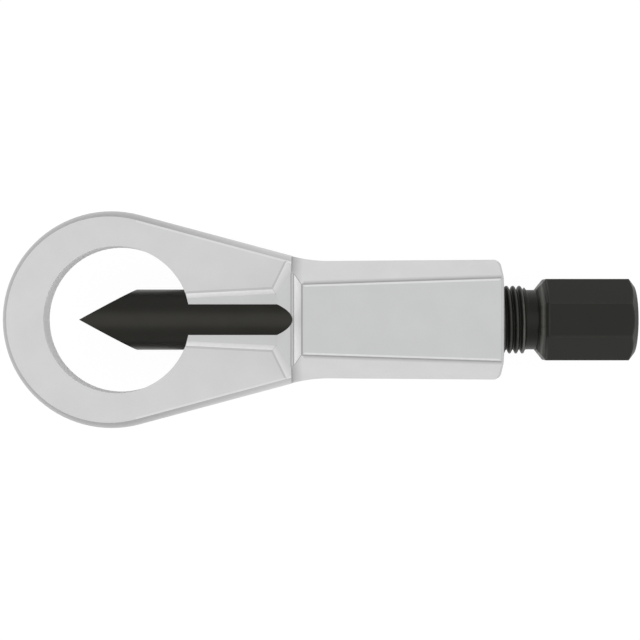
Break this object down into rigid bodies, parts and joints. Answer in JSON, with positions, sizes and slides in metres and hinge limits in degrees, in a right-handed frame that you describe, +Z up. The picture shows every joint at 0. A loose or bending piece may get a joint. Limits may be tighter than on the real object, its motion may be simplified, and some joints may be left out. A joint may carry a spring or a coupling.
{
  "type": "nut splitter",
  "caption": "Ring-frame nut splitter: turning the eight-sided spindle head feeds a round wedge chisel across the ring to crack a seized nut.",
  "frame": {"origin": "on the surface the tool lies on, below the middle of its length, with the spindle where the picture has it", "axes": "+X along the tool from the ring to the drive head, +Z up out of the ring's face, +Y across"},
  "size_m": [0.148, 0.051, 0.024],
  "materials": {
    "satin_steel": "blasted and satin plated",
    "black_steel": "black oxide",
    "bright_steel": "ground bright"
  },
  "bodies": {
    "frame": {"frame": "satin_steel", "guide_pin": "bright_steel"},
    "chisel": {"chisel": "black_steel", "thrust_ball": "bright_steel", "retaining_pins": "bright_steel"},
    "spindle": {"spindle": "black_steel"}
  },
  "joints": [
    {"name": "chisel_feed", "type": "slide", "parent": "frame", "child": "chisel", "axis": [-1, 0, 0], "range_m": [-0.0255, 0.00825]},
    {"name": "spindle_turn", "type": "hinge", "parent": "chisel", "child": "spindle", "pos_m": [0.02, 0, 0.012], "axis": [-1, 0, 0], "range_deg": [-6121, 1981]}
  ],
  "couplings": [
    {"joint": "spindle_turn", "follows": "chisel_feed", "rad_per_m": 4188.8}
  ]
}
